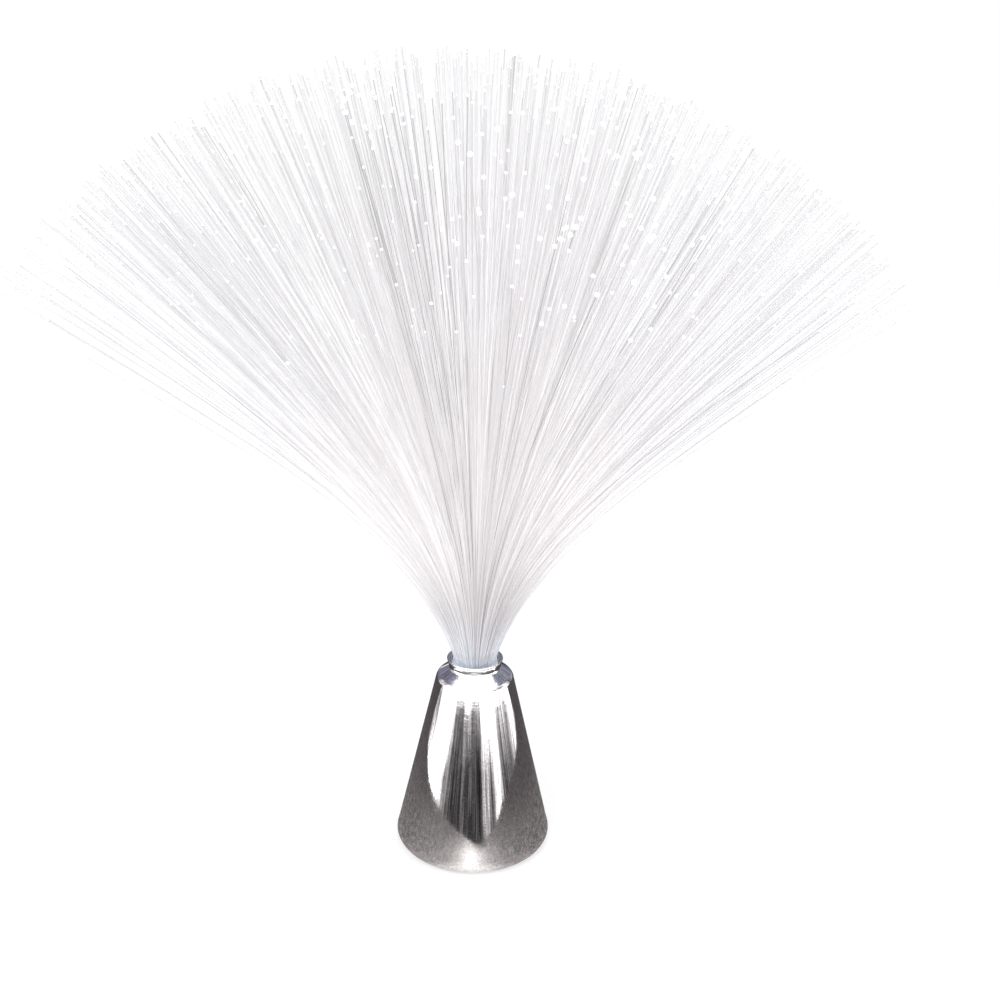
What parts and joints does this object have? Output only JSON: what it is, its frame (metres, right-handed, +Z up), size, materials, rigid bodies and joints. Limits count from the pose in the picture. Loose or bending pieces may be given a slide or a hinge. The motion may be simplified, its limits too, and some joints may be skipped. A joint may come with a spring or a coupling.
{
  "type": "fiber optic lamp",
  "caption": "Battery fibre optic lamp: a metallised cone base with a flared neck, a plug-in umbrella spray of clear fibres, a hinged battery door and a slide switch underneath.",
  "frame": {"origin": "on the lamp's axis, at the level of the feet's soles", "axes": "+Z up the cone and along the fibre bundle; -Y the side in the picture; the switch is at +X and the battery door's hinge at -Y"},
  "size_m": [0.3134, 0.315, 0.3096],
  "materials": {
    "metallised_shell": "polished",
    "clear_fibre": "gloss",
    "white_plastic": "satin",
    "led_resin": "gloss",
    "green_board": "satin",
    "chip_resin": "gloss",
    "resistor_body": "satin",
    "zinc_screw": "satin",
    "black_plastic": "satin",
    "grey_plastic": "satin",
    "cell_jacket": "gloss",
    "nickel_plate": "satin",
    "rubber_foot": "matte",
    "red_insulation": "satin",
    "white_insulation": "satin"
  },
  "bodies": {
    "base": {"base_shell": "metallised_shell", "bottom_cap": "black_plastic", "battery_1": "cell_jacket", "battery_2": "cell_jacket", "battery_3": "cell_jacket", "top_contact_positive": "nickel_plate", "top_contact_link": "nickel_plate", "top_spring": "nickel_plate", "negative_strip": "nickel_plate", "switch_body": "grey_plastic", "switch_screw_1": "zinc_screw", "switch_screw_2": "zinc_screw", "cap_screw_1": "zinc_screw", "cap_screw_2": "zinc_screw", "cap_screw_3": "zinc_screw", "foot_1": "rubber_foot", "foot_2": "rubber_foot", "foot_3": "rubber_foot", "light_cup": "white_plastic", "led": "led_resin", "led_board": "green_board", "controller_chip": "chip_resin", "resistor": "resistor_body", "board_screw_1": "zinc_screw", "board_screw_2": "zinc_screw", "lead_red": "red_insulation", "lead_white": "white_insulation"},
    "door": {"battery_door": "black_plastic", "door_contact_link": "nickel_plate", "door_contact_end": "nickel_plate", "door_spring_1": "nickel_plate", "door_spring_2": "nickel_plate"},
    "knob": {"switch_knob": "black_plastic"},
    "spray": {"fibre_spray": "clear_fibre", "fibre_bundle": "clear_fibre", "spray_ferrule": "white_plastic"}
  },
  "joints": [
    {"name": "battery_door_hinge", "type": "hinge", "parent": "base", "child": "door", "pos_m": [0, -0.0156, 0.0034], "axis": [-1, 0, 0], "range_deg": [0, 90]},
    {"name": "switch_slide", "type": "slide", "parent": "base", "child": "knob", "axis": [0, 1, 0], "range_m": [0, 0.003]},
    {"name": "spray_plug", "type": "slide", "parent": "base", "child": "spray", "axis": [0, 0, 1], "range_m": [0, 0.013]}
  ]
}
